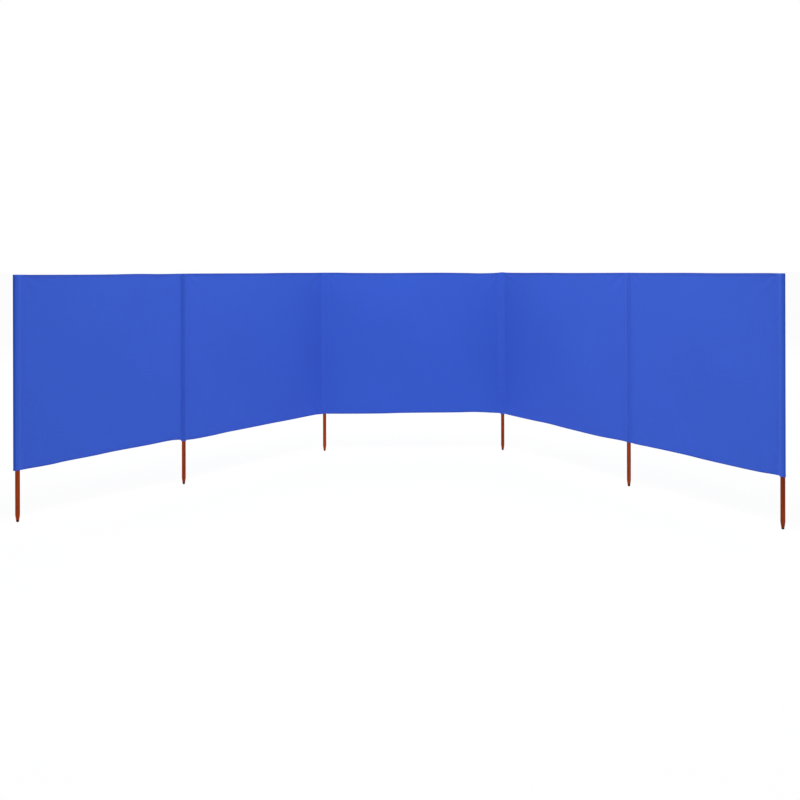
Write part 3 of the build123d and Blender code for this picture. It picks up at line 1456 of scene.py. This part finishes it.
@dataclass(frozen=True)
class Studio:
    """A plain pale floor, soft white light and the camera that looks at the row as the photograph does."""

    eye: Triple = (0.4464, -6.223, 1.2228)
    focal_pixels: float = 923.8
    picture_pixels: float = 800.0
    horizon_pixels: float = 268.95
    roll: float = -0.125
    yaw: float = -0.583
    sensor_width: float = 36.0
    floor_size: float = 600.0
    floor_colour: Colour = (0.97, 0.97, 0.97, 1)
    shadow_share: float = 0.10
    surround_level: float = 0.72
    lamps: tuple[Lamp, ...] = (
        Lamp("key", at=(-6.6, -7.2, 4.5), aim=(0.5, -0.6, 0.7), side=5.0, power=50),
        Lamp("top", at=(0.6, -1.5, 3.4), aim=(0.6, -1.5, 0.0), side=2.0, power=60),
        Lamp("back", at=(0.5, 8.0, 4.5), aim=(0.5, -0.6, 0.7), side=5.0, power=380),
    )

    def camera(self) -> None:
        """A level camera whose frame is shifted down to take in the row below the horizon."""
        lens = bpy.data.cameras.new("camera")
        lens.sensor_width = self.sensor_width
        lens.lens = self.focal_pixels / self.picture_pixels * self.sensor_width
        lens.shift_y = (self.horizon_pixels - self.picture_pixels / 2) / self.picture_pixels
        camera = bpy.data.objects.new("camera", lens)
        camera.matrix_world = (
            Matrix.Translation(self.eye)
            @ Matrix.Rotation(radians(self.yaw), 4, "Z")
            @ Matrix.Rotation(radians(90), 4, "X")
            @ Matrix.Rotation(radians(self.roll), 4, "Z")
        )
        bpy.context.scene.collection.objects.link(camera)
        bpy.context.scene.camera = camera

    def floor(self) -> None:
        """A wide pale floor that the camera sees as near white, with the row's soft shadow on it."""
        boards = Boards(bpy.data.materials.new("studio_floor"))
        boards.nodes.remove(boards.nodes["Principled BSDF"])
        paint = boards.wire(boards.add("ShaderNodeBsdfDiffuse"), self.floor_colour)
        glow = boards.add("ShaderNodeEmission").outputs[0]
        share = boards.calc("MULTIPLY", boards.seen(), 1 - self.shadow_share)
        boards.surface("Material Output", share, paint, glow)
        work = Workpiece()
        bmesh.ops.create_grid(work.bm, x_segments=1, y_segments=1, size=self.floor_size / 2)
        work.finish("floor", Matrix.Identity(4), boards.owner)

    def surround(self) -> None:
        """An even white light from all round, which the camera sees as white."""
        world = bpy.data.worlds.new("surround")
        bpy.context.scene.world = world
        boards = Boards(world)
        light = boards.wire(boards.nodes["Background"], WHITE, self.surround_level)
        white = boards.wire(boards.add("ShaderNodeBackground"), WHITE)
        boards.surface("World Output", boards.seen(), light, white)

    def build(self) -> None:
        """Sets up the camera, the floor and the light."""
        self.camera()
        self.floor()
        self.surround()
        for lamp in self.lamps:
            lamp.hang()
        bpy.context.scene.view_settings.view_transform = "Standard"


def dress_poles(wood: bpy.types.Material) -> None:
    """Gives the six staves their stained finish.

    Args:
        wood: the finish.
    """
    for pole in range(1, 7):
        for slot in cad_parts[f"pole_{pole}"].material_slots:
            slot.material = wood
        log.info("pole %d is stained", pole)


def stretch_bays(plan: Plan) -> tuple[Bay, ...]:
    """The five bays, each with its own slightly uneven edges.

    Args:
        plan: where the poles stand.

    Returns:
        The bays from left to right.
    """
    return (
        Bay(
            plan, 1, "first_bay",
            top=EdgeLine(((0, -0.8), (0.1, -2), (0.5, -2.8), (0.7, -0.8), (0.85, -2.4), (1, -0.8))),
            bottom=EdgeLine((
                (0, -0.5), (0.17, -1.5), (0.25, 1.5), (0.42, 2.6), (0.55, 6.2),
                (0.75, 8.2), (0.9, 11.5), (0.96, 8), (1, 0),
            )),
        ),
        Bay(
            plan, 2, "second_bay",
            top=EdgeLine(((0, -0.8), (0.25, -1.1), (0.52, -1.7), (0.7, -0.5), (0.9, -1.3), (1, -0.6))),
            bottom=EdgeLine((
                (0, 0), (0.06, -4.8), (0.17, -4.6), (0.27, -2), (0.44, -1.5), (0.6, 0.6),
                (0.7, 0.8), (0.87, 3.8), (0.93, 3.8), (1, -1),
            )),
        ),
        Bay(
            plan, 3, "middle_bay",
            top=EdgeLine((
                (0, -0.6), (0.08, -1), (0.15, -2.8), (0.35, -4.2), (0.65, -2.7), (0.8, -5.2),
                (0.87, -7.2), (0.95, -5.4), (1, -1),
            )),
            bottom=EdgeLine((
                (0, -1), (0.2, -2), (0.33, -1.2), (0.42, 1.2), (0.75, 4.2), (0.82, 6.8),
                (0.87, 6), (0.93, 2.3), (1, -1.5),
            )),
        ),
        Bay(
            plan, 4, "fourth_bay",
            top=EdgeLine((
                (0, -1), (0.05, -3.2), (0.2, -4), (0.4, -3.1), (0.56, -3.7), (0.8, -2.5), (1, -0.8),
            )),
            bottom=EdgeLine((
                (0, -1.5), (0.06, -3.2), (0.25, -4.8), (0.4, -3.5), (0.55, -7.4), (0.8, -8.4),
                (0.92, -4), (1, -2.5),
            )),
        ),
        Bay(
            plan, 5, "fifth_bay",
            top=EdgeLine((
                (0, -0.8), (0.15, -1.5), (0.4, -0.6), (0.6, -1.6), (0.8, -1), (0.92, -0.4),
                (0.965, -1.1), (1, -1.3),
            )),
            bottom=EdgeLine((
                (0, -2.5), (0.06, -5), (0.14, -4.4), (0.4, -4.3), (0.55, -7.4), (0.85, -7.1),
                (0.95, -2.7), (1, -0.5),
            )),
        ),
    )


def cut_sleeves(plan: Plan, bays: tuple[Bay, ...]) -> tuple[Sleeve, ...]:
    """The six sleeves, each with its painted shade: over an inner pole and its seams, on an end sleeve's
    outer fold.

    Args:
        plan: where the poles stand.
        bays: the five bays.

    Returns:
        The two end sleeves, and then the inner ones from left to right.
    """
    beyond = 40 * MM
    # painted shade over each inner sleeve's pole and seams, and how far its foot drops
    shade_and_drop = {
        2: (Shadow(0.30, -20 * MM, 6 * MM), 3 * MM),
        3: (Shadow(0.06, -5 * MM, 5 * MM), -3 * MM),
        4: (Shadow(0.10, -5 * MM, 10 * MM), 5 * MM),
        5: (Shadow(0.16, -12 * MM, 6 * MM), -1 * MM),
    }
    return (
        # painted shade along each end sleeve's outer fold, which turns away from the light
        EndSleeve(
            plan, 1, bays[:1], ("pocket_1",), Shadow(1.0, -beyond, -15.5 * MM, 3 * MM),
            foot_drop=-1.5 * MM, slack=9.5 * MM,
        ),
        EndSleeve(
            plan, 6, bays[4:], ("pocket_6",), Shadow(0.7, -beyond, -14 * MM, 3 * MM),
            foot_drop=2.5 * MM, droop=8 * MM, slack=3.5 * MM,
        ),
        *(
            InnerSleeve(
                plan, pole, bays[pole - 2 : pole], (f"pocket_{pole}", f"pocket_{pole}_far_side"), shadow,
                foot_drop=drop,
            )
            for pole, (shadow, drop) in shade_and_drop.items()
        ),
    )


def main() -> None:
    """Builds the windbreak's cloth, finishes its poles and sets up the studio."""
    logging.basicConfig(level=logging.INFO, format="%(name)s: %(message)s")
    plan = Plan.from_frame()
    cloth = WovenCloth().make()
    thread = SewingThread().make()
    sewing = Stitching()
    dress_poles(StainedWood().make())

    bays = stretch_bays(plan)
    for piece in (*bays, *cut_sleeves(plan, bays)):
        piece.build(cloth, thread, sewing)

    Studio().build()


if __name__ == "__main__":
    main()
